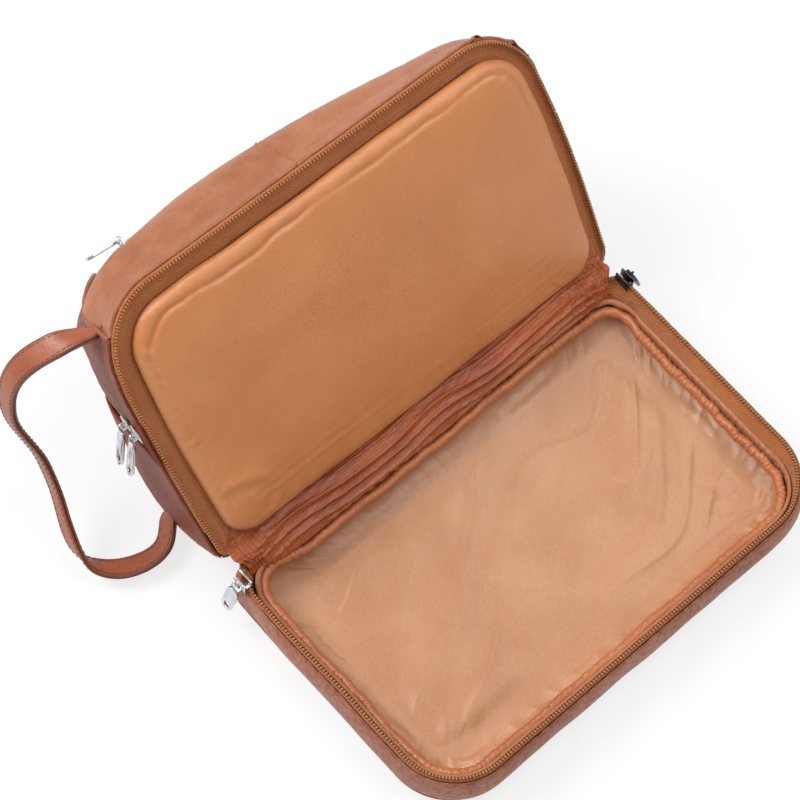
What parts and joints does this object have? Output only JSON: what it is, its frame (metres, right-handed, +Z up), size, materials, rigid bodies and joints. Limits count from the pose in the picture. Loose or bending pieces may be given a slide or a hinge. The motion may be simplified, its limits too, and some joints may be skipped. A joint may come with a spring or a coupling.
{
  "type": "toiletry bag",
  "caption": "Leather toiletry bag lying open: a flat zipped tray hinged to a rounded main compartment with a side strap.",
  "frame": {"origin": "bottom centre of the bounding box, on the surface that the bag lies on", "axes": "+X along the hinge towards the end without a strap, +Y from the tray towards the tipped-back main compartment, +Z up"},
  "size_m": [0.3294, 0.3146, 0.1647],
  "materials": {
    "leather": "grained, semi-gloss",
    "leather_dark": "grained, satin",
    "satin": "satin",
    "tape": "woven, matt",
    "teeth": "satin",
    "board": "matt",
    "metal": "bright plated",
    "elastic": "gathered, matt"
  },
  "bodies": {
    "tray": {"tray_base": "leather", "tray_board": "board", "tray_elastic": "elastic", "tray_lining": "satin", "tray_piping": "leather_dark", "tray_tape": "tape", "tray_teeth": "teeth", "tray_wall": "leather", "hinge_fold": "leather_dark", "hinge_leaf_tray": "leather", "hinge_lining": "satin"},
    "main_body": {"divider_board": "board", "divider_pad": "satin", "frame_tape": "tape", "frame_teeth": "teeth", "front_panel": "leather", "gusset_left_front": "leather", "gusset_left_rear": "leather", "gusset_right_front": "leather", "gusset_right_rear": "leather", "hinge_leaf_body": "leather", "main_lining_front": "satin", "main_lining_rear": "satin", "main_tape_front": "tape", "main_tape_rear": "tape", "main_teeth_front": "teeth", "main_teeth_rear": "teeth", "pocket_panel": "leather", "pocket_tape_lower": "tape", "pocket_tape_upper": "tape", "pocket_teeth_lower": "teeth", "pocket_teeth_upper": "teeth", "rear_panel": "leather", "welt_front_left": "leather_dark", "welt_front_right": "leather_dark", "welt_rear_left": "leather_dark", "welt_rear_right": "leather_dark", "zip_end_left": "leather", "zip_end_right": "leather"},
    "handle": {"handle_strap": "leather", "handle_backing": "leather_dark"},
    "main_lower_pull": {"main_lower_pull": "metal"},
    "main_lower_slider": {"main_lower_slider": "metal"},
    "main_upper_pull": {"main_upper_pull": "metal"},
    "main_upper_slider": {"main_upper_slider": "metal"},
    "pocket_pull": {"pocket_pull": "metal"},
    "pocket_slider": {"pocket_slider": "metal"},
    "tray_left_pull": {"tray_left_pull": "metal"},
    "tray_left_slider": {"tray_left_slider": "metal"},
    "tray_right_pull": {"tray_right_pull": "metal"},
    "tray_right_slider": {"tray_right_slider": "metal"}
  },
  "joints": [
    {"name": "bag_hinge", "type": "hinge", "parent": "tray", "child": "main_body", "pos_m": [0, 0.00855, 0.034], "axis": [-1, 0, 0], "range_deg": [-127, 45], "deforming": ["hinge_lining"]},
    {"name": "handle_swing", "type": "hinge", "parent": "main_body", "child": "handle", "pos_m": [-0.11444, 0.11353, 0.14289], "axis": [-0.0273, -0.4458, -0.8947], "range_deg": [-55, 45]},
    {"name": "main_lower_slide", "type": "slide", "parent": "main_body", "child": "main_lower_slider", "axis": [0.0943, 0.7951, -0.5991], "range_m": [0, 0.0035]},
    {"name": "main_lower_pull_swing", "type": "hinge", "parent": "main_lower_slider", "child": "main_lower_pull", "pos_m": [-0.11571, 0.07381, 0.08975], "axis": [0.0943, 0.7951, -0.5991], "range_deg": [-26, 144]},
    {"name": "main_upper_slide", "type": "slide", "parent": "main_body", "child": "main_upper_slider", "axis": [0.1045, 0.7943, -0.5985], "range_m": [0, 0.016]},
    {"name": "main_upper_pull_swing", "type": "hinge", "parent": "main_upper_slider", "child": "main_upper_pull", "pos_m": [-0.11435, 0.08463, 0.0816], "axis": [-0.1045, -0.7943, 0.5985], "range_deg": [-144, 26]},
    {"name": "pocket_slide", "type": "slide", "parent": "main_body", "child": "pocket_slider", "axis": [0.9873, 0.1452, -0.0639], "range_m": [0, 0.02]},
    {"name": "pocket_pull_swing", "type": "hinge", "parent": "pocket_slider", "child": "pocket_pull", "pos_m": [-0.06576, 0.14234, 0.13426], "axis": [0.1268, -0.4798, 0.8682], "range_deg": [-165, 5]},
    {"name": "tray_left_slide", "type": "slide", "parent": "tray", "child": "tray_left_slider", "axis": [0, -1, 0], "range_m": [0, 0.112]},
    {"name": "tray_left_pull_swing", "type": "hinge", "parent": "tray_left_slider", "child": "tray_left_pull", "pos_m": [-0.11518, -0.00126, 0.034], "axis": [0, -1, 0], "range_deg": [-155, 15]},
    {"name": "tray_right_slide", "type": "slide", "parent": "tray", "child": "tray_right_slider", "axis": [0, -1, 0], "range_m": [0, 0.112]},
    {"name": "tray_right_pull_swing", "type": "hinge", "parent": "tray_right_slider", "child": "tray_right_pull", "pos_m": [0.15732, -0.00126, 0.034], "axis": [0, -1, 0], "range_deg": [-15, 155]}
  ]
}
